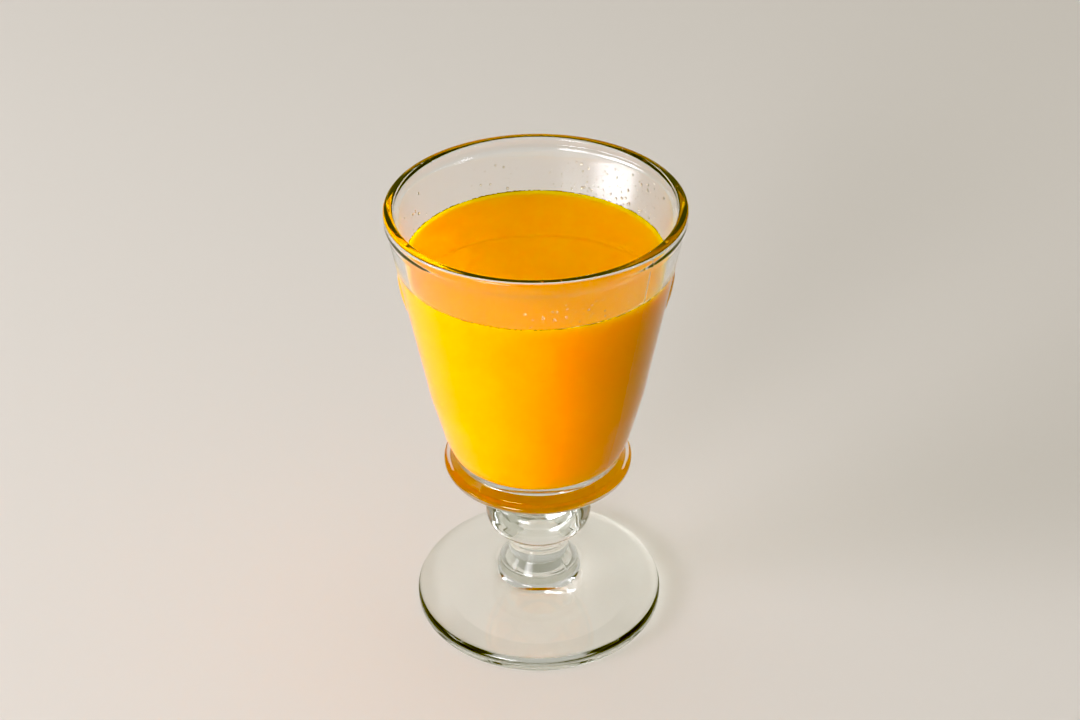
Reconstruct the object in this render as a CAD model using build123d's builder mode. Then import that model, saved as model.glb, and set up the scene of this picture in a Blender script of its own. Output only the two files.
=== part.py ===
from build123d import *

import os
from math import atan2, cos, degrees, pi, sin, tan

# A footed goblet of clear pressed glass, filled with orange juice.
# Millimetres, +Z up. The origin is the centre of the flat ring that the foot rests on.
# The goblet is one piece of glass. The juice is a second piece, and it fills the bowl to its level.

# Driving dimensions
total_height = 143.0
rim_radius = 43.0  # outside of the rounded rim bead
foot_radius = 39.1

# Foot: a round disc with a rounded edge, hollowed underneath inside its resting ring
foot_edge_height = 4.1
foot_edge_flat = 0.8  # straight band left between the two roundings of the edge
foot_bottom_round = 0.8
foot_rise = 5.4  # climb of the upper face from the edge to the pedestal
rest_ring_inner_radius = 28.8
rest_ring_round = 2.0
recess_step_width = 6.0  # gentle slope just inside the resting ring
recess_step_height = 0.8
recess_step_round = 8.0
recess_height = 2.8  # height of the hollow at its centre

# Pedestal: a soft bell that spreads out into the foot and narrows to the neck
pedestal_radius = 13.0
pedestal_height = 4.8
pedestal_flare = 2.0  # how far it spreads out, and how high that starts
pedestal_flare_round = 6.0
pedestal_side_round = 2.0
pedestal_shoulder_inset = 0.7
pedestal_shoulder_round = 3.4

# Neck: a plain ring, then a narrow waist under the knop
neck_radius = 9.5
neck_step_height = 3.9  # climb from the pedestal's shoulder to the neck
neck_step_round = 0.5
neck_ring_height = 4.6
neck_ring_round = 2.0
neck_waist_depth = 0.7
neck_waist_height = 4.5
neck_waist_round = 1.2

# Knop: the round ball of the stem
knop_radius = 16.5
knop_height = 15.5
knop_crown = 1.6  # slope of the knop's upper and lower faces
knop_face_left = 0.2  # what the rounding leaves of those faces beside the neck
knop_side_left = 2.6  # straight band left round the knop's widest part
upper_neck_radius = 10.0
upper_neck_height = 8.4
upper_neck_round = 0.7

# The nearly flat underside of the bowl, and the collar ring round its edge
underside_rise = 1.7
underside_round = 2.0
underside_inset = 2.0
underside_edge_drop = 0.4
collar_overhang = 0.45  # how far the collar stands out past the heel of the bowl
collar_height = 3.1
collar_side_left = 0.6  # straight band left between the collar's two roundings
collar_bevel = 0.5
collar_step = 1.9  # how far the collar stands out from the bowl's lower edge
collar_edge_round = 0.4
groove_depth = 1.1  # how far the groove above the collar cuts in
groove_height = 2.6
groove_round = 0.9

# Bowl
heel_radius = 28.4
heel_height = 6.9  # above the groove
heel_round = 22.0
bowl_spread = 4.0  # how much wider than the heel the bowl is where the straight wall starts
waist_height = 23.4  # above the groove
waist_round = 60.0
wall_thickness = 2.65  # measured level
floor_above_collar = 4.9
floor_round = 3.4
floor_inset = 1.6  # how far the floor's edge lies inside the heel

# Rim: a rounded bead, a little proud of the wall
rim_bead_width = 3.0
rim_bead_height = 3.2
rim_bead_round = 1.2
rim_top_flat = 0.9  # narrow band left level on top of the bead
rim_lip = 0.7
rim_neck_height = 1.8  # from the bead down to the straight wall
rim_neck_round = 3.0

# Raised oval cabochons, pressed into the outside of the wall at the quarters
cabochon_count = 4
cabochon_drop = 28.0  # from the top of the rim down to the middle
cabochon_length = 15.0
cabochon_width = 10.4
cabochon_frame = 1.6  # width of the low border round the raised middle
cabochon_border_height = 0.5
cabochon_middle_height = 0.95
cabochon_root = 1.2  # how deep it is rooted in the wall
cabochon_edge_round = 0.18

# Juice
level_below_rim = 17.5
meniscus_rise = 0.6
meniscus_run = 1.6
juice_clearance = 0.02  # between the juice and the wall of the bowl

# Heights, then radii and roundings, worked out from the sizes above
foot_top = foot_edge_height + foot_rise
shoulder = foot_top + pedestal_height
neck_bottom = shoulder + neck_step_height
neck_ring_top = neck_bottom + neck_ring_height
knop_bottom = neck_ring_top + neck_waist_height
knop_top = knop_bottom + knop_height
bowl_bottom = knop_top + upper_neck_height
collar_bottom = bowl_bottom + underside_rise
collar_top = collar_bottom + collar_height
groove = collar_top + groove_height
heel = groove + heel_height
wall_start = groove + waist_height
floor = collar_top + floor_above_collar
bead_bottom = total_height - rim_bead_height
wall_end = bead_bottom - rim_neck_height
juice_level = total_height - level_below_rim

foot_top_round = foot_edge_height - foot_edge_flat - foot_bottom_round
rim_top_round = (rim_bead_width - rim_top_flat) / 2
widest_neck = max(neck_radius - neck_waist_depth, upper_neck_radius)
knop_round = min(knop_radius - widest_neck - knop_face_left, (knop_height - knop_side_left) / 2)
collar_round = (collar_height - collar_side_left) / 2
collar_radius = heel_radius + collar_overhang
collar_edge_radius = collar_radius - collar_step
waist_radius = heel_radius + bowl_spread
wall_end_radius = rim_radius - rim_lip
wall_lean = atan2(wall_end_radius - waist_radius, wall_end - wall_start)


def wall_radius(height):
    """Outside radius of the straight wall at a height."""
    return waist_radius + (height - wall_start) * tan(wall_lean)


def outside():
    """The outside, from the middle of the hollow foot up to the rim: radius, height, rounding."""
    return [
        (0, recess_height, 0),
        (rest_ring_inner_radius - recess_step_width, recess_step_height, recess_step_round),
        (rest_ring_inner_radius, 0, rest_ring_round),
        (foot_radius, 0, foot_bottom_round),
        (foot_radius, foot_edge_height, foot_top_round),
        (pedestal_radius + pedestal_flare, foot_top, pedestal_flare_round),
        (pedestal_radius, foot_top + pedestal_flare, pedestal_side_round),
        (pedestal_radius - pedestal_shoulder_inset, shoulder, pedestal_shoulder_round),
        (neck_radius, neck_bottom, neck_step_round),
        (neck_radius, neck_ring_top, neck_ring_round),
        (neck_radius - neck_waist_depth, knop_bottom, neck_waist_round),
        (knop_radius, knop_bottom + knop_crown, knop_round),
        (knop_radius, knop_top - knop_crown, knop_round),
        (upper_neck_radius, knop_top, upper_neck_round),
        (upper_neck_radius, bowl_bottom, underside_round),
        (collar_edge_radius - underside_inset, collar_bottom - underside_edge_drop, underside_round),
        (collar_edge_radius, collar_bottom, collar_edge_round),
        (collar_radius, collar_bottom + collar_bevel, collar_round),
        (collar_radius, collar_top - collar_bevel, collar_round),
        (collar_edge_radius, collar_top, collar_edge_round),
        (collar_edge_radius - groove_depth, groove, groove_round),
        (heel_radius, heel, heel_round),
        (waist_radius, wall_start, waist_round),
        (wall_end_radius, wall_end, rim_neck_round),
        (rim_radius, bead_bottom, rim_bead_round),
        (rim_radius, total_height, rim_top_round),
    ]


def inside(clearance=0.0):
    """The inside of the straight wall and the floor, from the wall's top down: radius, height, rounding."""
    inset = wall_thickness + clearance
    return [
        (waist_radius - inset, wall_start, waist_round),
        (heel_radius - inset, heel, heel_round),
        (heel_radius - inset - floor_inset, floor, floor_round),
        (0, floor, 0),
    ]


def rounded_line(corners):
    """A line through the corners, with every corner but the two ends rounded. It goes in the open BuildLine."""
    points = [(radius, height) for radius, height, _ in corners]
    roundings = [rounding for _, _, rounding in corners[1:-1]]
    return FilletPolyline(*points, radius=roundings)


# The goblet: one turned section, with the cabochons raised on the wall
rim_and_inside = [
    (rim_radius - rim_bead_width, total_height, rim_top_round),
    (rim_radius - rim_bead_width, bead_bottom, rim_bead_round),
    (wall_end_radius - wall_thickness, wall_end, rim_neck_round),
]

with BuildPart() as goblet:
    with BuildSketch(Plane.XZ):
        with BuildLine():
            section = rounded_line(outside() + rim_and_inside + inside())
            Line(section @ 1, section @ 0)
        make_face()
    revolve(axis=Axis.Z)

    cabochon_middle = total_height - cabochon_drop
    for place in range(cabochon_count):
        turn = 2 * pi * place / cabochon_count
        outward = Vector(cos(wall_lean) * cos(turn), cos(wall_lean) * sin(turn), -sin(wall_lean))
        reach = wall_radius(cabochon_middle)
        on_wall = Vector(reach * cos(turn), reach * sin(turn), cabochon_middle)
        rooted = Plane(
            origin=on_wall - outward * cabochon_root,
            x_dir=(-sin(turn), cos(turn), 0),
            z_dir=outward,
        )
        with BuildSketch(rooted):
            Ellipse(cabochon_width / 2, cabochon_length / 2)
        extrude(amount=cabochon_root + cabochon_border_height)
        with BuildSketch(rooted):
            Ellipse(cabochon_width / 2 - cabochon_frame, cabochon_length / 2 - cabochon_frame)
        extrude(amount=cabochon_root + cabochon_middle_height)
    fillet(goblet.edges().filter_by(GeomType.ELLIPSE), cabochon_edge_round)

# The juice: it lies on the floor of the bowl and curls up a little where it wets the wall
edge_height = juice_level + meniscus_rise
edge_radius = wall_radius(edge_height) - wall_thickness - juice_clearance
flat_radius = wall_radius(juice_level) - wall_thickness - juice_clearance - meniscus_run

with BuildPart() as orange_juice:
    with BuildSketch(Plane.XZ):
        with BuildLine():
            body = rounded_line([(edge_radius, edge_height, 0)] + inside(juice_clearance))
            axis_line = Line(body @ 1, (0, juice_level))
            surface = Line(axis_line @ 1, (flat_radius, juice_level))
            TangentArc(surface @ 1, body @ 0, tangent=(1, 0))
        make_face()
    revolve(axis=Axis.Z)

goblet.part.label = "goblet"
orange_juice.part.label = "orange_juice"

os.makedirs("parts", exist_ok=True)
export_step(goblet.part, "parts/goblet.step")
export_step(orange_juice.part, "parts/orange_juice.step")

print("glass", round(goblet.part.volume / 1000, 1), "ml of glass")
print("juice", round(orange_juice.part.volume / 1000, 1), "ml, wall lean", round(degrees(wall_lean), 2))
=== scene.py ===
import math

import bpy
from mathutils import Matrix, Vector, noise


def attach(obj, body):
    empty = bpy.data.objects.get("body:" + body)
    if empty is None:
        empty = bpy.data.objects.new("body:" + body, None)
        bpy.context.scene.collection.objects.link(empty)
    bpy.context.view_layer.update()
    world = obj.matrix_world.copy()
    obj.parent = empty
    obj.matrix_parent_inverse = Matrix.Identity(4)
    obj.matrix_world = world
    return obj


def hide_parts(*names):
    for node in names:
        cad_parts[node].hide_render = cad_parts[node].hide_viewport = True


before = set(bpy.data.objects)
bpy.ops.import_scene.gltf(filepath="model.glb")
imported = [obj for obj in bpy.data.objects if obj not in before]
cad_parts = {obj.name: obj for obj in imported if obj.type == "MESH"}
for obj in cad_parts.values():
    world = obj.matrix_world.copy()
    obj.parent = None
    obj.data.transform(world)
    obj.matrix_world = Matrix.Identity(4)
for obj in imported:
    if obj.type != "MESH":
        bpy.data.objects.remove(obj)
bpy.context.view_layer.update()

mm = 0.001


# shared helpers

def linearColour(hexCode):
    parts = [int(hexCode[i:i + 2], 16) / 255 for i in (1, 3, 5)]
    return tuple(c / 12.92 if c <= 0.04045 else ((c + 0.055) / 1.055) ** 2.4 for c in parts) + (1.0,)


def addNode(tree, kind, settings=None, inputs=None):
    # inputs: socket name or number -> a value, or the output socket that feeds it
    node = tree.nodes.new(kind)
    for name, value in (settings or {}).items():
        setattr(node, name, value)
    for key, value in (inputs or {}).items():
        socket = node.inputs[key]
        if isinstance(value, bpy.types.NodeSocket):
            tree.links.new(value, socket)
        else:
            socket.default_value = value
    return node


def newMaterial(name):
    material = bpy.data.materials.new(name)
    material.use_nodes = True
    material.node_tree.nodes.clear()
    return material, material.node_tree


def addObject(name, data):
    item = bpy.data.objects.new(name, data)
    bpy.context.scene.collection.objects.link(item)
    return item


def objectFrom(name, vertices, faces, material, shadeSmooth=True):
    mesh = bpy.data.meshes.new(name)
    mesh.from_pydata(vertices, [], faces)
    mesh.validate()
    mesh.materials.append(material)
    mesh.polygons.foreach_set("use_smooth", [shadeSmooth] * len(mesh.polygons))
    mesh.update()
    return addObject(name, mesh)


def pointAt(radius, angle, height):
    # from millimetres and radians to a point in metres
    return (radius * mm * math.cos(angle), radius * mm * math.sin(angle), height * mm)


def smooth(low, high, value):
    # 0 below low, 1 above high, and an eased climb between them
    t = min(1.0, max(0.0, (value - low) / (high - low)))
    return t * t * (3 - 2 * t)


def roundedLine(corners, arcStep=12.0, longest=4.0, edgeRow=0.35):
    # corners are (radius, height, rounding) in mm; every corner but the ends is rounded
    line = []
    points = [Vector((r, z)) for r, z, _ in corners]

    def straight(a, b):
        # a row close to each end keeps the shading of a long flat stretch from bending
        length = (b - a).length
        if length > 3 * edgeRow:
            inner = length - 2 * edgeRow
            count = max(1, math.ceil(inner / longest))
            for i in range(count + 1):
                line.append(a.lerp(b, (edgeRow + inner * i / count) / length))

    line.append(points[0])
    last = points[0]
    for i in range(1, len(points) - 1):
        before = (points[i] - points[i - 1]).normalized()
        after = (points[i + 1] - points[i]).normalized()
        turn = before.angle_signed(after, 0.0)
        rounding = corners[i][2]
        reach = rounding * math.tan(abs(turn) / 2)
        start, end = points[i] - before * reach, points[i] + after * reach
        straight(last, start)
        side = Vector((-before.y, before.x)) * (-1 if turn > 0 else 1)
        centre = start + side * rounding
        spoke = start - centre
        steps = max(2, math.ceil(math.degrees(abs(turn)) / arcStep))
        for k in range(steps + 1):
            angle = -turn * k / steps
            c, s = math.cos(angle), math.sin(angle)
            line.append(centre + Vector((spoke.x * c - spoke.y * s, spoke.x * s + spoke.y * c)))
        line[-1] = end
        last = end
    straight(last, points[-1])
    line.append(points[-1])
    return [(p.x, p.y) for p in line]


def withRows(line, low, high, spacing, radiusOver):
    # closer rows between two heights, where the line is far enough out, for fine relief to stand on
    out = [line[0]]
    for a, b in zip(line, line[1:]):
        inside = min(a[1], b[1]) < high and max(a[1], b[1]) > low and min(a[0], b[0]) > radiusOver
        count = max(1, math.ceil(math.dist(a, b) / spacing)) if inside else 1
        for k in range(1, count + 1):
            out.append((a[0] + (b[0] - a[0]) * k / count, a[1] + (b[1] - a[1]) * k / count))
    return out


def turned(line, angles, shift=None):
    # one row of points for each profile point, and a single point where the profile meets the axis
    onAxis = 1e-6
    vertices, rows = [], []
    for index, (radius, height) in enumerate(line):
        if radius < onAxis:
            rows.append([len(vertices)] * len(angles))
            vertices.append((0.0, 0.0, height * mm))
            continue
        row = []
        for angle in angles:
            grow = shift(index, radius, height, angle) if shift else 0.0
            row.append(len(vertices))
            vertices.append(pointAt(radius + grow, angle, height))
        rows.append(row)
    faces = []
    count = len(angles)
    for lower, upper in zip(rows, rows[1:]):
        for i in range(count):
            j = (i + 1) % count
            corner = [lower[i], lower[j], upper[j], upper[i]]
            face = [v for k, v in enumerate(corner) if v != corner[k - 1]]
            if len(face) > 2:
                faces.append(face)
    return vertices, faces


def newTree(name, sockets):
    # sockets: name -> kind of input; every tree takes a geometry in and gives one out
    tree = bpy.data.node_groups.new(name, "GeometryNodeTree")
    tree.interface.new_socket("Geometry", in_out="INPUT", socket_type="NodeSocketGeometry")
    tree.interface.new_socket("Geometry", in_out="OUTPUT", socket_type="NodeSocketGeometry")
    for socket, kind in sockets.items():
        tree.interface.new_socket(socket, in_out="INPUT", socket_type="NodeSocket" + kind)
    return tree, addNode(tree, "NodeGroupInput").outputs


def layBeads(tree, material, size, places):
    # sets a small ball, stretched to size, in each of the places, and makes plain mesh of them all
    bead = addNode(tree, "GeometryNodeMeshIcoSphere", None, {"Radius": 1.0, "Subdivisions": 2})
    scale = addNode(tree, "ShaderNodeCombineXYZ", None, size)
    shaped = addNode(tree, "GeometryNodeTransform", None,
                     {"Geometry": bead.outputs[0], "Scale": scale.outputs[0]})
    placed = addNode(tree, "GeometryNodeInstanceOnPoints", None, {"Instance": shaped.outputs[0], **places})
    real = addNode(tree, "GeometryNodeRealizeInstances", None, {0: placed.outputs[0]})
    smoothed = addNode(tree, "GeometryNodeSetShadeSmooth", None, {"Geometry": real.outputs[0]})
    shown = addNode(tree, "GeometryNodeSetMaterial", None,
                    {"Geometry": smoothed.outputs[0], "Material": material})
    addNode(tree, "NodeGroupOutput", None, {0: shown.outputs[0]})


def grownOn(host, name, tree, values):
    # runs the tree on the host and keeps only the plain mesh that comes out
    modifier = host.modifiers.new(name, "NODES")
    modifier.node_group = tree
    for item in tree.interface.items_tree:
        if item.in_out == "INPUT" and item.name in values:
            modifier[item.identifier] = values[item.name]
    depsgraph = bpy.context.evaluated_depsgraph_get()
    mesh = bpy.data.meshes.new_from_object(host.evaluated_get(depsgraph), depsgraph=depsgraph)
    bpy.data.objects.remove(host)
    mesh.name = name
    return addObject(name, mesh)


# materials

glassLook = {
    "name": "pressedSodaLimeGlass",
    "ior": 1.52,  # soda-lime glass
    "surface": "#FFFFFF",
    "tint": "#D6E4DC",  # iron gives thick glass a faint grey green
    "tintPerMetre": 6.5,
    "chillWave": 9.0 * mm,  # width of the soft ripples left where the hot glass met the cold mould
    "chillDetail": 1.0,
    "chillRoughness": 0.4,
    "chillHeight": 0.012 * mm,
    "shade": "#E0E1DD",  # how much a lamp loses at each surface
}


def makeGlass(look):
    # Pressed in an iron mould and fire polished: clear and very smooth, with soft ripples
    # that bend what shows through it, and a grey green tint only where it is thick.
    material, tree = newMaterial(look["name"])
    coords = addNode(tree, "ShaderNodeTexCoord")
    ripple = addNode(tree, "ShaderNodeTexNoise", None,
                     {"Vector": coords.outputs["Object"], "Scale": 1 / look["chillWave"],
                      "Detail": look["chillDetail"], "Roughness": look["chillRoughness"]})
    bump = addNode(tree, "ShaderNodeBump", None,
                   {"Strength": 1.0, "Distance": look["chillHeight"], "Height": ripple.outputs[0]})
    shader = addNode(tree, "ShaderNodeBsdfPrincipled", None,
                     {"Base Color": linearColour(look["surface"]), "Roughness": 0.0, "IOR": look["ior"],
                      "Transmission Weight": 1.0, "Normal": bump.outputs[0]})
    tint = addNode(tree, "ShaderNodeVolumeAbsorption", None,
                   {"Color": linearColour(look["tint"]), "Density": look["tintPerMetre"]})
    # lamps shine straight through, because light bent by the glass leaves what is behind it too dark
    through = addNode(tree, "ShaderNodeBsdfTransparent", None, {"Color": linearColour(look["shade"])})
    ray = addNode(tree, "ShaderNodeLightPath")
    surface = addNode(tree, "ShaderNodeMixShader", None,
                      {0: ray.outputs["Is Shadow Ray"], 1: shader.outputs[0], 2: through.outputs[0]})
    addNode(tree, "ShaderNodeOutputMaterial", None,
            {"Surface": surface.outputs[0], "Volume": tint.outputs[0]})
    return material


juiceLook = {
    "name": "squeezedOrangeJuice",
    "ior": 1.35,  # water with about a tenth of sugar
    "thin": "#FFA400",
    "deep": "#FA9400",
    "cloud": 14.0 * mm,  # drifts of fine pulp
    "cloudDetail": 3.0,
    "cloudRoughness": 0.55,
    "pulp": 0.9 * mm,  # single shreds of pulp
    "pulpDetail": 2.0,
    "pulpRoughness": 0.6,
    "pulpShare": 0.25,  # how much the shreds change the colour beside the drifts
    "pulpHeight": 0.004 * mm,
    "pulpRelief": 0.5,
    "scatter": (1.0, 0.75, 0.05),
    "scatterReach": 11.0 * mm,
    "roughness": 0.015,
    "gloss": 0.5,
}
# the same juice where it lies against the glass, where the light barely bends and nothing glints
wettedLook = dict(juiceLook, name="orangeJuiceAgainstGlass", gloss=0.05)


def makeJuice(look):
    # Cloudy juice, strained: light sinks in and comes back yellow where it is strong and
    # deep orange where it has come far. The top is a wet, level surface with fine shreds in it.
    material, tree = newMaterial(look["name"])
    coords = addNode(tree, "ShaderNodeTexCoord")
    drift = addNode(tree, "ShaderNodeTexNoise", None,
                    {"Vector": coords.outputs["Object"], "Scale": 1 / look["cloud"],
                     "Detail": look["cloudDetail"], "Roughness": look["cloudRoughness"]})
    shreds = addNode(tree, "ShaderNodeTexNoise", None,
                     {"Vector": coords.outputs["Object"], "Scale": 1 / look["pulp"],
                      "Detail": look["pulpDetail"], "Roughness": look["pulpRoughness"]})
    share = addNode(tree, "ShaderNodeMath", {"operation": "MULTIPLY_ADD"},
                    {0: shreds.outputs[0], 1: look["pulpShare"], 2: drift.outputs[0]})
    colour = addNode(tree, "ShaderNodeMix", {"data_type": "RGBA"},
                     {0: share.outputs[0], 6: linearColour(look["deep"]), 7: linearColour(look["thin"])})
    bump = addNode(tree, "ShaderNodeBump", None,
                   {"Strength": look["pulpRelief"], "Distance": look["pulpHeight"],
                    "Height": shreds.outputs[0]})
    shader = addNode(tree, "ShaderNodeBsdfPrincipled", None,
                     {"Base Color": colour.outputs[2], "Roughness": look["roughness"], "IOR": look["ior"],
                      "Specular IOR Level": look["gloss"], "Subsurface Weight": 1.0,
                      "Subsurface Radius": look["scatter"], "Subsurface Scale": look["scatterReach"],
                      "Normal": bump.outputs[0]})
    addNode(tree, "ShaderNodeOutputMaterial", None, {"Surface": shader.outputs[0]})
    return material


dropletLook = {
    "name": "clearJuiceDroplets",
    "ior": 1.35,
    "clear": "#FFFFFF",
    "settled": "#FFF3D6",  # where a little pulp has settled in a droplet
    "patch": 1.5 * mm,
    "patchDetail": 2.0,
}


def makeDroplets(look):
    # splashes that have drained off their pulp: small, clear and glossy, with a trace of yellow
    material, tree = newMaterial(look["name"])
    coords = addNode(tree, "ShaderNodeTexCoord")
    patches = addNode(tree, "ShaderNodeTexNoise", None,
                      {"Vector": coords.outputs["Object"], "Scale": 1 / look["patch"],
                       "Detail": look["patchDetail"]})
    colour = addNode(tree, "ShaderNodeMix", {"data_type": "RGBA"},
                     {0: patches.outputs[0], 6: linearColour(look["clear"]),
                      7: linearColour(look["settled"])})
    shader = addNode(tree, "ShaderNodeBsdfPrincipled", None,
                     {"Base Color": colour.outputs[2], "Roughness": 0.0, "IOR": look["ior"],
                      "Transmission Weight": 1.0})
    addNode(tree, "ShaderNodeOutputMaterial", None, {"Surface": shader.outputs[0]})
    return material


fleckLook = {
    "name": "driedPulpEdge",
    "ior": 1.4,
    "roughness": 0.45,
    "pale": "#A8600F",
    "dark": "#4A2706",  # pulp that has dried a little darkens
    "patch": 2.5 * mm,
    "patchDetail": 3.0,
}


def makeFlecks(look):
    # fine pulp left at the edge of the drink as it dries: brownish orange, uneven and half matt
    material, tree = newMaterial(look["name"])
    coords = addNode(tree, "ShaderNodeTexCoord")
    patches = addNode(tree, "ShaderNodeTexNoise", None,
                      {"Vector": coords.outputs["Object"], "Scale": 1 / look["patch"],
                       "Detail": look["patchDetail"]})
    colour = addNode(tree, "ShaderNodeMix", {"data_type": "RGBA"},
                     {0: patches.outputs[0], 6: linearColour(look["dark"]), 7: linearColour(look["pale"])})
    shader = addNode(tree, "ShaderNodeBsdfPrincipled", None,
                     {"Base Color": colour.outputs[2], "Roughness": look["roughness"], "IOR": look["ior"]})
    addNode(tree, "ShaderNodeOutputMaterial", None, {"Surface": shader.outputs[0]})
    return material


glassMaterial = makeGlass(glassLook)
dropletMaterial = makeDroplets(dropletLook)
fleckMaterial = makeFlecks(fleckLook)
juiceMaterial = makeJuice(juiceLook)
wettedMaterial = makeJuice(wettedLook)
print("materials made")


# the goblet: one turned piece of pressed glass, sized in mm

goblet = {
    "height": 143.0,
    "rimRadius": 43.0,
    "wall": 2.65,
    # foot: a round disc, hollowed underneath inside its resting ring
    "footRadius": 39.1,
    "footEdge": 4.1,  # height of the edge
    "footEdgeRound": 0.8,
    "footTopRound": 2.5,
    "footRise": 5.4,  # climb of the upper face from the edge to the pedestal
    "hollowRadius": 28.8,
    "hollowRound": 2.0,
    "hollowHeight": 2.8,
    "hollowStepWidth": 6.0,  # gentle slope just inside the resting ring
    "hollowStepHeight": 0.8,
    "hollowStepRound": 8.0,
    # pedestal: a soft bell that spreads into the foot
    "pedestalRadius": 13.0,
    "pedestalHeight": 4.8,
    "pedestalFlare": 2.0,  # how far it spreads, and how high that starts
    "pedestalFlareRound": 6.0,
    "pedestalSideRound": 2.0,
    "shoulderInset": 0.7,
    "shoulderRound": 3.4,
    # neck: a plain ring, then a narrow waist under the knop
    "neckRadius": 9.5,
    "neckStep": 3.9,
    "neckStepRound": 0.5,
    "neckRing": 4.6,
    "neckRingRound": 2.0,
    "neckWaist": 4.5,
    "neckWaistDepth": 0.7,
    "neckWaistRound": 1.2,
    # knop: the round ball of the stem, with a short neck above it
    "knopRadius": 16.5,
    "knopHeight": 15.5,
    "knopCrown": 1.6,  # slope of its upper and lower faces
    "knopRound": 6.3,
    "upperNeckRadius": 10.0,
    "upperNeck": 8.4,
    "upperNeckRound": 0.7,
    # underside of the bowl, nearly flat, and the collar ring round its edge
    "undersideRise": 1.7,
    "undersideRound": 2.0,
    "undersideInset": 2.0,
    "undersideEdgeDrop": 0.4,
    "collarOverhang": 0.45,  # how far the collar stands out past the heel of the bowl
    "collarHeight": 3.1,
    "collarBevel": 0.5,
    "collarRound": 1.25,
    "collarStep": 1.9,
    "collarEdgeRound": 0.4,
    "grooveDepth": 1.1,
    "grooveHeight": 2.6,
    "grooveRound": 0.9,
    # bowl: its heights are above the groove, but for the floor, which is above the collar
    "heelRadius": 28.4,
    "heelHeight": 6.9,
    "heelRound": 22.0,
    "bowlSpread": 4.0,  # how much wider than the heel the straight wall starts
    "waistHeight": 23.4,
    "waistRound": 60.0,
    "floorHeight": 4.9,
    "floorRound": 3.4,
    "floorInset": 1.6,
    # rim: a rounded bead, a little proud of the wall
    "beadWidth": 3.0,
    "beadHeight": 3.2,
    "beadRound": 1.2,
    "rimTopRound": 1.05,
    "rimLip": 0.7,
    "rimNeck": 1.8,  # from the bead down to the straight wall
    "rimNeckRound": 3.0,
    # raised ovals round the outside of the wall
    "ovals": 4,
    "ovalDrop": 28.0,  # from the rim down to the middle
    "ovalLength": 15.0,
    "ovalWidth": 10.4,
    "ovalFrame": 1.6,
    "frameHeight": 0.5,
    "domeHeight": 0.95,
    "frameFall": (0.92, 1.04),  # where the frame's edge falls away, as a share of the oval
    "domeFall": (0.76, 1.02),  # and the dome's, as a share of what lies inside the frame
    # mould seams, which are faint
    "seamAngle": -43.0,  # the mould opened along this line and the opposite one
    "seamHeight": 0.05,
    "seamWidth": 0.22,
    "seamFloor": 1.0,  # no seam lower or nearer the axis than this
    "seamInner": 8.0,
    # waver: how far the pressed wall strays from true
    "waver": 0.035,
    "waverWidth": 16.0,
    "waverStretch": 0.6,  # less than 1, so it is longer up the wall than round it
    "waverFloor": 3.0,
    "waverAxis": 10.0,  # it fades out this near the axis
    "rimCalm": (136.0, 140.0),  # and weakens between these heights
    "rimCalmShare": 0.7,
    "innerWaver": 40.0,  # the inner wall takes its waver from elsewhere in the same noise
    # rows and columns of the mesh; steps round it in degrees, steps along the wall in mm
    "ovalColumns": 14,  # on each side of an oval's middle
    "ovalColumnStep": 0.7,
    "betweenColumns": 36,
    "seamColumns": (-0.9, -0.45, -0.2, 0.0, 0.2, 0.45, 0.9),
    "closestColumns": 0.12,
    "ovalRow": 0.45,
    "ovalRowMargin": 0.9,
}

footTop = goblet["footEdge"] + goblet["footRise"]
shoulder = footTop + goblet["pedestalHeight"]
neckBottom = shoulder + goblet["neckStep"]
neckRingTop = neckBottom + goblet["neckRing"]
knopBottom = neckRingTop + goblet["neckWaist"]
knopTop = knopBottom + goblet["knopHeight"]
bowlBottom = knopTop + goblet["upperNeck"]
collarBottom = bowlBottom + goblet["undersideRise"]
collarTop = collarBottom + goblet["collarHeight"]
groove = collarTop + goblet["grooveHeight"]
heel = groove + goblet["heelHeight"]
waist = groove + goblet["waistHeight"]
bowlFloor = collarTop + goblet["floorHeight"]
beadBottom = goblet["height"] - goblet["beadHeight"]
wallEnd = beadBottom - goblet["rimNeck"]
ovalMiddle = goblet["height"] - goblet["ovalDrop"]

collarRadius = goblet["heelRadius"] + goblet["collarOverhang"]
collarEdgeRadius = collarRadius - goblet["collarStep"]
waistRadius = goblet["heelRadius"] + goblet["bowlSpread"]
wallEndRadius = goblet["rimRadius"] - goblet["rimLip"]
mouthRadius = goblet["rimRadius"] - goblet["beadWidth"]
wallSlope = (wallEndRadius - waistRadius) / (wallEnd - waist)
seamAngles = (goblet["seamAngle"], goblet["seamAngle"] + 180)


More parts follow.
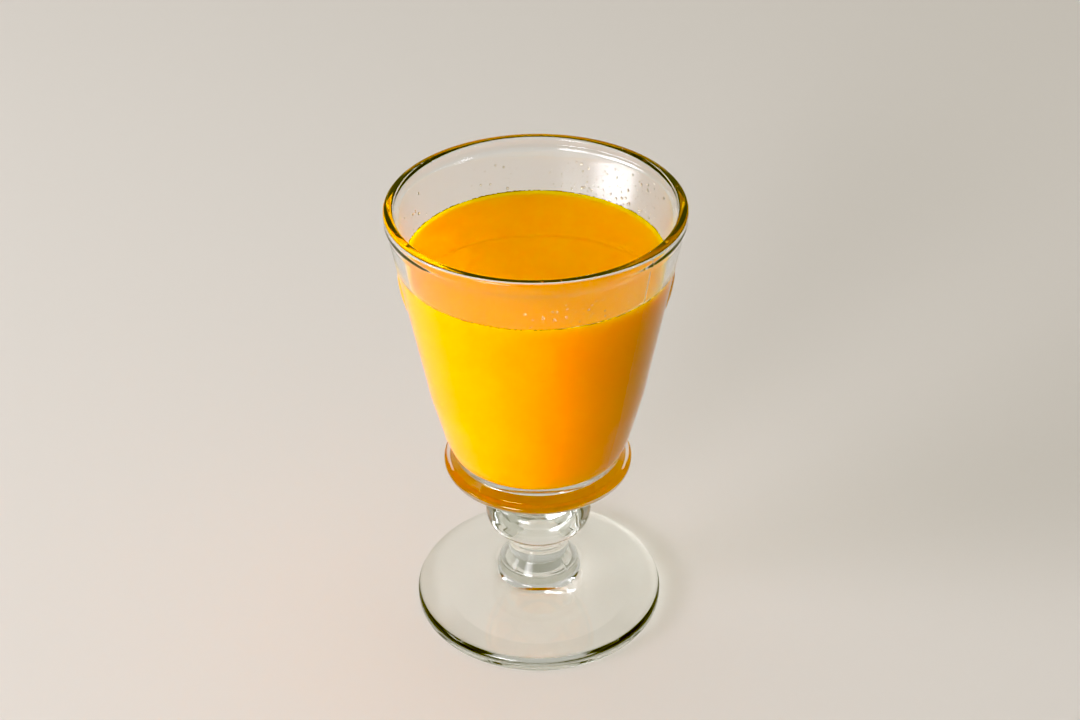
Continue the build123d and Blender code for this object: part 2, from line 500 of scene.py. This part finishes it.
def outsideCorners():
    # radius, height and rounding, from the middle of the hollow foot up to the rim
    return [
        (0, goblet["hollowHeight"], 0),
        (goblet["hollowRadius"] - goblet["hollowStepWidth"], goblet["hollowStepHeight"],
         goblet["hollowStepRound"]),
        (goblet["hollowRadius"], 0, goblet["hollowRound"]),
        (goblet["footRadius"], 0, goblet["footEdgeRound"]),
        (goblet["footRadius"], goblet["footEdge"], goblet["footTopRound"]),
        (goblet["pedestalRadius"] + goblet["pedestalFlare"], footTop, goblet["pedestalFlareRound"]),
        (goblet["pedestalRadius"], footTop + goblet["pedestalFlare"], goblet["pedestalSideRound"]),
        (goblet["pedestalRadius"] - goblet["shoulderInset"], shoulder, goblet["shoulderRound"]),
        (goblet["neckRadius"], neckBottom, goblet["neckStepRound"]),
        (goblet["neckRadius"], neckRingTop, goblet["neckRingRound"]),
        (goblet["neckRadius"] - goblet["neckWaistDepth"], knopBottom, goblet["neckWaistRound"]),
        (goblet["knopRadius"], knopBottom + goblet["knopCrown"], goblet["knopRound"]),
        (goblet["knopRadius"], knopTop - goblet["knopCrown"], goblet["knopRound"]),
        (goblet["upperNeckRadius"], knopTop, goblet["upperNeckRound"]),
        (goblet["upperNeckRadius"], bowlBottom, goblet["undersideRound"]),
        (collarEdgeRadius - goblet["undersideInset"], collarBottom - goblet["undersideEdgeDrop"],
         goblet["undersideRound"]),
        (collarEdgeRadius, collarBottom, goblet["collarEdgeRound"]),
        (collarRadius, collarBottom + goblet["collarBevel"], goblet["collarRound"]),
        (collarRadius, collarTop - goblet["collarBevel"], goblet["collarRound"]),
        (collarEdgeRadius, collarTop, goblet["collarEdgeRound"]),
        (collarEdgeRadius - goblet["grooveDepth"], groove, goblet["grooveRound"]),
        (goblet["heelRadius"], heel, goblet["heelRound"]),
        (waistRadius, waist, goblet["waistRound"]),
        (wallEndRadius, wallEnd, goblet["rimNeckRound"]),
        (goblet["rimRadius"], beadBottom, goblet["beadRound"]),
        (goblet["rimRadius"], goblet["height"], goblet["rimTopRound"]),
    ]


def mouthCorners():
    # over the rim and down to the inner wall
    return [
        (mouthRadius, goblet["height"], goblet["rimTopRound"]),
        (mouthRadius, beadBottom, goblet["beadRound"]),
        (wallEndRadius - goblet["wall"], wallEnd, goblet["rimNeckRound"]),
    ]


def insideCorners(reach=0.0):
    # the inner wall and floor; reach moves it into the glass
    inset = goblet["wall"] - reach
    return [
        (waistRadius - inset, waist, goblet["waistRound"]),
        (goblet["heelRadius"] - inset, heel, goblet["heelRound"]),
        (goblet["heelRadius"] - inset - goblet["floorInset"], bowlFloor - reach, goblet["floorRound"]),
        (0, bowlFloor - reach, 0),
    ]


def wallRadius(height):
    return waistRadius + (height - waist) * wallSlope


def columnAngles():
    # close together over the raised ovals and the mould seams, wider between them
    angles = set()
    spread = 360 / goblet["ovals"]
    fine = goblet["ovalColumns"] * goblet["ovalColumnStep"]
    for index in range(goblet["ovals"]):
        middle = index * spread
        for k in range(-goblet["ovalColumns"], goblet["ovalColumns"] + 1):
            angles.add(round(middle + k * goblet["ovalColumnStep"], 4))
        for k in range(1, goblet["betweenColumns"]):
            angles.add(round(middle + fine + (spread - 2 * fine) * k / goblet["betweenColumns"], 4))
    for seam in seamAngles:
        for step in goblet["seamColumns"]:
            angles.add(round(seam + step, 4))
    kept = []
    for angle in sorted(a % 360 for a in angles):
        if not kept or angle - kept[-1] > goblet["closestColumns"]:
            kept.append(angle)
    return [math.radians(a) for a in kept]


def ovalRise(radius, height, angle):
    # a low frame round a raised, softly domed middle
    up = (height - ovalMiddle) / math.cos(math.atan(wallSlope))
    if abs(up) > goblet["ovalLength"]:
        return 0.0
    spread = 2 * math.pi / goblet["ovals"]
    off = (angle + spread / 2) % spread - spread / 2
    across = off * radius
    halfWidth, halfLength = goblet["ovalWidth"] / 2, goblet["ovalLength"] / 2
    outer = math.hypot(across / halfWidth, up / halfLength)
    innerWidth, innerLength = halfWidth - goblet["ovalFrame"], halfLength - goblet["ovalFrame"]
    inner = math.hypot(across / innerWidth, up / innerLength)
    frameRise = goblet["frameHeight"] * (1 - smooth(*goblet["frameFall"], outer))
    domeRise = (goblet["domeHeight"] - goblet["frameHeight"]) * (1 - smooth(*goblet["domeFall"], inner))
    return frameRise + domeRise


def gobletLine():
    reach = goblet["ovalLength"] / 2 + goblet["ovalRowMargin"]
    midWall = wallRadius(ovalMiddle - reach) - goblet["wall"] / 2
    line = roundedLine(outsideCorners() + mouthCorners() + insideCorners())
    return withRows(line, ovalMiddle - reach, ovalMiddle + reach, goblet["ovalRow"], midWall)


outline = gobletLine()
rimMiddle = (goblet["rimRadius"] + mouthRadius) / 2
lastOutside = max(index for index, point in enumerate(outline) if point[0] > rimMiddle)


def glassShift(index, radius, height, angle):
    # how far a point of the glass lies off the plain turned shape
    onOutside = index <= lastOutside
    grow = 0.0
    if onOutside:
        grow += ovalRise(radius, height, angle)
    if onOutside and height > goblet["seamFloor"] and radius > goblet["seamInner"]:
        for seam in seamAngles:
            off = (angle - math.radians(seam) + math.pi) % (2 * math.pi) - math.pi
            grow += goblet["seamHeight"] * math.exp(-(off * radius / goblet["seamWidth"]) ** 2)
    if height > goblet["waverFloor"]:
        place = Vector((radius * math.cos(angle), radius * math.sin(angle), height * goblet["waverStretch"]))
        place = place / goblet["waverWidth"] + Vector((0.0 if onOutside else goblet["innerWaver"], 0, 0))
        calm = smooth(*goblet["rimCalm"], height) * goblet["rimCalmShare"]
        grow += goblet["waver"] * noise.noise(place) * smooth(0, goblet["waverAxis"], radius) * (1 - calm)
    return grow


columns = columnAngles()
vertices, faces = turned(outline, columns, glassShift)
pressedGoblet = objectFrom("pressedGoblet", vertices, faces, glassMaterial)
triangles = sum(len(f) - 2 for f in faces)
print("goblet", len(outline), "rows", len(columns), "columns", triangles, "triangles")


# the juice, which reaches just into the wall so that no air shows between them

juice = {
    "belowRim": 17.5,
    "creep": 0.6,  # how far the edge climbs where it wets the wall
    "creepRun": 1.6,
    "creepCurve": 2.6,  # higher keeps the climb closer to the wall
    "creepRows": 10,
    "rings": 12,  # in the level middle
    "longestRow": 6.0,
    "intoWall": 0.25,
    "columns": 180,
    "openSlope": 0.3,  # faces that point up more than this are the open surface
}

level = goblet["height"] - juice["belowRim"]


def juiceLine():
    # from the middle of the floor, up in the wall and back over the surface
    edgeHeight = level + juice["creep"]
    edgeRadius = wallRadius(edgeHeight) - goblet["wall"] + juice["intoWall"]
    body = roundedLine([(edgeRadius, edgeHeight, 0)] + insideCorners(juice["intoWall"]),
                       longest=juice["longestRow"])
    # the surface: level in the middle, then a hollow curve up the wall
    wet = wallRadius(level) - goblet["wall"]
    surface = []
    for k in range(juice["creepRows"] + 1):
        t = k / juice["creepRows"]
        surface.append((wet - juice["creepRun"] * (1 - t), level + juice["creep"] * t ** juice["creepCurve"]))
    middle = [(surface[0][0] * k / juice["rings"], level) for k in range(juice["rings"])]
    return (middle + surface + body)[::-1]


evenAngles = [2 * math.pi * k / juice["columns"] for k in range(juice["columns"])]
vertices, faces = turned(juiceLine(), evenAngles)
juiceBody = objectFrom("juiceBody", vertices, faces, juiceMaterial)
juiceBody.data.materials.append(wettedMaterial)
for face in juiceBody.data.polygons:
    if face.normal.z < juice["openSlope"]:
        face.material_index = 1
print("juice", len(faces), "faces")


# droplets on the inner wall above the drink

droplets = {
    "low": 127.0,
    "high": 137.2,
    # where the wall is wet: middle angle, half width in degrees, share of the full density
    "wetPlaces": ((52, 36, 1.0), (110, 18, 0.3), (160, 14, 0.35), (283, 28, 0.5)),
    "wetCore": 0.4,  # share of the half width before it starts to dry
    "dryAbove": 0.6,  # share of the droplets that is missing at the top
    "rows": 8,
    "columns": 144,
    "perSquareMetre": 0.55e6,
    "smallest": 0.1 * mm,
    "largest": 0.5 * mm,
    "skew": 3.0,  # higher makes more of them small
    "flatness": 0.6,
    "seed": 7,
}


def wallBand():
    # a strip of the inner wall that faces the drink, with a value that says how wet it is
    rows, columns = droplets["rows"], droplets["columns"]
    vertices, faces, wetness = [], [], []
    for row in range(rows + 1):
        height = droplets["low"] + (droplets["high"] - droplets["low"]) * row / rows
        radius = wallRadius(height) - goblet["wall"]
        for column in range(columns):
            angle = 360 * column / columns
            vertices.append(pointAt(radius, math.radians(angle), height))
            wet = 0.0
            for middle, halfWidth, share in droplets["wetPlaces"]:
                off = abs((angle - middle + 180) % 360 - 180)
                wet = max(wet, share * (1 - smooth(droplets["wetCore"], 1.0, off / halfWidth)))
            wetness.append(wet * (1 - droplets["dryAbove"] * row / rows))
    for row in range(rows):
        for column in range(columns):
            beside = (column + 1) % columns
            faces.append([row * columns + column, (row + 1) * columns + column,
                          (row + 1) * columns + beside, row * columns + beside])
    band = objectFrom("wallBand", vertices, faces, dropletMaterial)
    attribute = band.data.attributes.new("wetness", "FLOAT", "POINT")
    attribute.data.foreach_set("value", wetness)
    return band


def dropletTree():
    tree, given = newTree("scatterDroplets", {"Density": "Float", "Smallest": "Float", "Largest": "Float",
                                              "Skew": "Float", "Flatness": "Float", "Seed": "Int",
                                              "Material": "Material"})
    wetness = addNode(tree, "GeometryNodeInputNamedAttribute", {"data_type": "FLOAT"}, {"Name": "wetness"})
    density = addNode(tree, "ShaderNodeMath", {"operation": "MULTIPLY"},
                      {0: wetness.outputs[0], 1: given["Density"]})
    points = addNode(tree, "GeometryNodeDistributePointsOnFaces", None,
                     {"Mesh": given["Geometry"], "Density": density.outputs[0], "Seed": given["Seed"]})
    # most droplets are small: a random value raised to a power, spread between the two sizes
    chance = addNode(tree, "FunctionNodeRandomValue", {"data_type": "FLOAT"}, {"Seed": given["Seed"]})
    skewed = addNode(tree, "ShaderNodeMath", {"operation": "POWER"}, {0: chance.outputs[1], 1: given["Skew"]})
    size = addNode(tree, "ShaderNodeMapRange", None,
                   {0: skewed.outputs[0], 3: given["Smallest"], 4: given["Largest"]})
    layBeads(tree, given["Material"], {"X": 1.0, "Y": 1.0, "Z": given["Flatness"]},
             {"Points": points.outputs["Points"], "Rotation": points.outputs["Rotation"],
              "Scale": size.outputs[0]})
    return tree


wallDroplets = grownOn(wallBand(), "wallDroplets", dropletTree(), {
    "Density": droplets["perSquareMetre"], "Smallest": droplets["smallest"], "Largest": droplets["largest"],
    "Skew": droplets["skew"], "Flatness": droplets["flatness"], "Seed": droplets["seed"],
    "Material": dropletMaterial})
print("wall droplets", len(wallDroplets.data.polygons), "triangles")


# fine pulp along the line where the drink meets the wall

flecks = {
    "spacing": 0.75 * mm,
    "length": 0.48 * mm,
    "thickness": 0.2 * mm,
    "shortest": 0.45,  # sizes of single flecks, as shares of the length and thickness
    "longest": 1.1,
    "stray": 0.06 * mm,  # how far a fleck lies above or below the line
    "share": 0.8,
    "aboveEdge": 0.05,  # mm from the edge of the drink up and out to the line
    "outFromEdge": 0.1,
    "ringPoints": 240,
    "seed": 3,
    "sizeSeed": 11,
}


def contactRing():
    # the drink reaches just into the wall, so its edge line lies there too
    height = level + juice["creep"] + flecks["aboveEdge"]
    radius = wallRadius(height) - goblet["wall"] + juice["intoWall"] + flecks["outFromEdge"]
    count = flecks["ringPoints"]
    ring = [pointAt(radius, 2 * math.pi * k / count, height) for k in range(count)]
    mesh = bpy.data.meshes.new("contactRing")
    mesh.from_pydata(ring, [(k, (k + 1) % count) for k in range(count)], [])
    return addObject("contactRing", mesh)


def fleckTree():
    tree, given = newTree("layFlecks", {"Spacing": "Float", "Length": "Float", "Thickness": "Float",
                                        "Shortest": "Float", "Longest": "Float", "Stray": "Float",
                                        "Share": "Float", "Seed": "Int", "Size Seed": "Int",
                                        "Material": "Material"})
    curve = addNode(tree, "GeometryNodeMeshToCurve", None, {0: given["Geometry"]})
    even = addNode(tree, "GeometryNodeResampleCurve", {"mode": "LENGTH"},
                   {"Curve": curve.outputs[0], "Length": given["Spacing"]})
    along = addNode(tree, "GeometryNodeInputTangent")
    facing = addNode(tree, "FunctionNodeAlignRotationToVector", {"axis": "X"}, {"Vector": along.outputs[0]})
    down = addNode(tree, "ShaderNodeMath", {"operation": "MULTIPLY"}, {0: given["Stray"], 1: -1.0})
    stray = addNode(tree, "FunctionNodeRandomValue", {"data_type": "FLOAT"},
                    {2: down.outputs[0], 3: given["Stray"], "Seed": given["Seed"]})
    offset = addNode(tree, "ShaderNodeCombineXYZ", None, {"Z": stray.outputs[1]})
    moved = addNode(tree, "GeometryNodeSetPosition", None,
                    {"Geometry": even.outputs[0], "Offset": offset.outputs[0]})
    kept = addNode(tree, "FunctionNodeRandomValue", {"data_type": "BOOLEAN"},
                   {"Probability": given["Share"], "Seed": given["Seed"]})
    size = addNode(tree, "FunctionNodeRandomValue", {"data_type": "FLOAT"},
                   {2: given["Shortest"], 3: given["Longest"], "Seed": given["Size Seed"]})
    layBeads(tree, given["Material"],
             {"X": given["Length"], "Y": given["Thickness"], "Z": given["Thickness"]},
             {"Points": moved.outputs[0], "Selection": kept.outputs[3], "Rotation": facing.outputs[0],
              "Scale": size.outputs[1]})
    return tree


edgeFlecks = grownOn(contactRing(), "edgeFlecks", fleckTree(), {
    "Spacing": flecks["spacing"], "Length": flecks["length"], "Thickness": flecks["thickness"],
    "Shortest": flecks["shortest"], "Longest": flecks["longest"], "Stray": flecks["stray"],
    "Share": flecks["share"], "Seed": flecks["seed"], "Size Seed": flecks["sizeSeed"],
    "Material": fleckMaterial})
print("edge flecks", len(edgeFlecks.data.polygons), "triangles")


# how the pieces belong to the frame

for piece, node, slot in ((pressedGoblet, "goblet", "clear_glass"), (juiceBody, "orange_juice", "juice")):
    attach(piece, "root")
    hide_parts(node)
for piece in (wallDroplets, edgeFlecks):
    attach(piece, "root")


# floor, lights and camera, in metres

studio = {
    "floor": "#D8D4D1",
    "floorRoughness": 0.6,
    "floorHalf": 3.0,
    "floorGap": 0.15 * mm,  # the foot stands on air this thin, as it does on any real table
    "roomBack": "#F2EEEA",  # a pale wall behind the table
    "roomFront": "#B4B1AC",  # and a dimmer room in front of it
    "roomStrength": 0.62,
    "frontToBack": (-0.25, 0.6),  # directions over which the front turns into the back
    "lowToHigh": (0.02, 0.4),  # and over which the wall brightens upwards
    "black": (0.012, 0.014, 0.07),  # what is darker comes out black, which makes the orange fuller
    "bounces": 24,
    "bouncesInGlass": 20,
    "brightestBounce": 40.0,
}

floorMaterial, tree = newMaterial("matteFloor")
shader = addNode(tree, "ShaderNodeBsdfPrincipled", None,
                 {"Base Color": linearColour(studio["floor"]), "Roughness": studio["floorRoughness"]})
addNode(tree, "ShaderNodeOutputMaterial", None, {"Surface": shader.outputs[0]})
half, under = studio["floorHalf"], -studio["floorGap"]
floor = objectFrom("floor", [(x * half, y * half, under) for x, y in ((-1, -1), (1, -1), (1, 1), (-1, 1))],
                   [(0, 1, 2, 3)], floorMaterial, shadeSmooth=False)

world = bpy.data.worlds.new("softRoom")
world.use_nodes = True
tree = world.node_tree
tree.nodes.clear()
direction = addNode(tree, "ShaderNodeTexCoord")
split = addNode(tree, "ShaderNodeSeparateXYZ", None, {0: direction.outputs["Generated"]})
toBack = addNode(tree, "ShaderNodeMapRange", {"interpolation_type": "SMOOTHSTEP"},
                 {"Value": split.outputs["Y"], "From Min": studio["frontToBack"][0],
                  "From Max": studio["frontToBack"][1]})
above = addNode(tree, "ShaderNodeMapRange", {"interpolation_type": "SMOOTHSTEP"},
                {"Value": split.outputs["Z"], "From Min": studio["lowToHigh"][0],
                 "From Max": studio["lowToHigh"][1]})
share = addNode(tree, "ShaderNodeMath", {"operation": "MULTIPLY"},
                {0: toBack.outputs[0], 1: above.outputs[0]})
roomColour = addNode(tree, "ShaderNodeMix", {"data_type": "RGBA"},
                     {0: share.outputs[0], 6: linearColour(studio["roomFront"]),
                      7: linearColour(studio["roomBack"])})
background = addNode(tree, "ShaderNodeBackground", None,
                     {"Color": roomColour.outputs[2], "Strength": studio["roomStrength"]})
addNode(tree, "ShaderNodeOutputWorld", None, {"Surface": background.outputs[0]})
bpy.context.scene.world = world


def addPanel(name, place, size, power, target=(0, 0, 0.08), colour="#FFFDFC", soft=0.5, mirrored=True):
    # brightest in the middle and fading to its edges, so its reflection has no hard border
    light = bpy.data.lights.new(name, "AREA")
    light.shape = "RECTANGLE"
    light.size, light.size_y = size
    light.energy = power
    light.color = linearColour(colour)[:3]
    light.use_nodes = True
    tree = light.node_tree
    tree.nodes.clear()
    surface = addNode(tree, "ShaderNodeNewGeometry")
    across = addNode(tree, "ShaderNodeSeparateXYZ", None, {0: surface.outputs["Parametric"]})
    fades = []
    for axis in ("X", "Y"):
        off = addNode(tree, "ShaderNodeMath", {"operation": "SUBTRACT"}, {0: across.outputs[axis], 1: 0.5})
        distance = addNode(tree, "ShaderNodeMath", {"operation": "ABSOLUTE"}, {0: off.outputs[0]})
        fades.append(addNode(tree, "ShaderNodeMapRange", {"interpolation_type": "SMOOTHSTEP"},
                             {"Value": distance.outputs[0], "From Min": 0.5, "From Max": 0.5 - soft}))
    both = addNode(tree, "ShaderNodeMath", {"operation": "MULTIPLY"},
                   {0: fades[0].outputs[0], 1: fades[1].outputs[0]})
    glow = addNode(tree, "ShaderNodeEmission", None, {"Strength": both.outputs[0]})
    addNode(tree, "ShaderNodeOutputLight", None, {"Surface": glow.outputs[0]})
    lamp = addObject(name, light)
    lamp.visible_glossy = mirrored
    lamp.location = place
    lamp.rotation_euler = (Vector(target) - Vector(place)).to_track_quat("-Z", "Y").to_euler()


addPanel("skyLeft", place=(-2.5, -1.0, 0.85), size=(3.2, 1.4), power=430.0, mirrored=False)
addPanel("windowLeft", place=(-2.1, -0.4, 0.9), size=(1.0, 0.8), power=30.0)
addPanel("skyFront", place=(-1.2, -2.0, 0.9), size=(1.4, 1.0), power=80.0, soft=0.4)
addPanel("ceiling", place=(0.2, 0.3, 2.2), size=(2.2, 2.2), power=8.0, target=(0, 0, 0), colour="#FFFDFF",
         soft=0.35)

cameraFit = {
    "lens": 60.0,
    "sensor": 36.0,
    "nearest": 0.01,
    "place": (0.0, -0.4418, 0.3932),
    "yaw": 0.115,  # degrees to the right, down and round the line of sight
    "pitch": 34.5,
    "roll": -0.45,
}
camera = bpy.data.cameras.new("camera")
camera.lens = cameraFit["lens"]
camera.sensor_width = cameraFit["sensor"]
camera.clip_start = cameraFit["nearest"]
cameraObject = addObject("camera", camera)
yaw, pitch, roll = (math.radians(cameraFit[k]) for k in ("yaw", "pitch", "roll"))
forward = Vector((math.sin(yaw) * math.cos(pitch), math.cos(yaw) * math.cos(pitch), -math.sin(pitch)))
right = Vector((math.cos(yaw), -math.sin(yaw), 0))
up = right.cross(forward)
rolledRight = math.cos(roll) * right + math.sin(roll) * up
rolledUp = -math.sin(roll) * right + math.cos(roll) * up
turn = Matrix((rolledRight, rolledUp, -forward)).transposed()
cameraObject.matrix_world = Matrix.Translation(cameraFit["place"]) @ turn.to_4x4()
bpy.context.scene.camera = cameraObject

scene = bpy.context.scene
scene.view_settings.view_transform = "Standard"
scene.view_settings.use_curve_mapping = True
scene.view_settings.curve_mapping.black_level = studio["black"]
scene.view_settings.curve_mapping.update()
scene.cycles.max_bounces = studio["bounces"]
scene.cycles.transmission_bounces = studio["bouncesInGlass"]
scene.cycles.sample_clamp_indirect = studio["brightestBounce"]
print("floor, lights and camera placed")
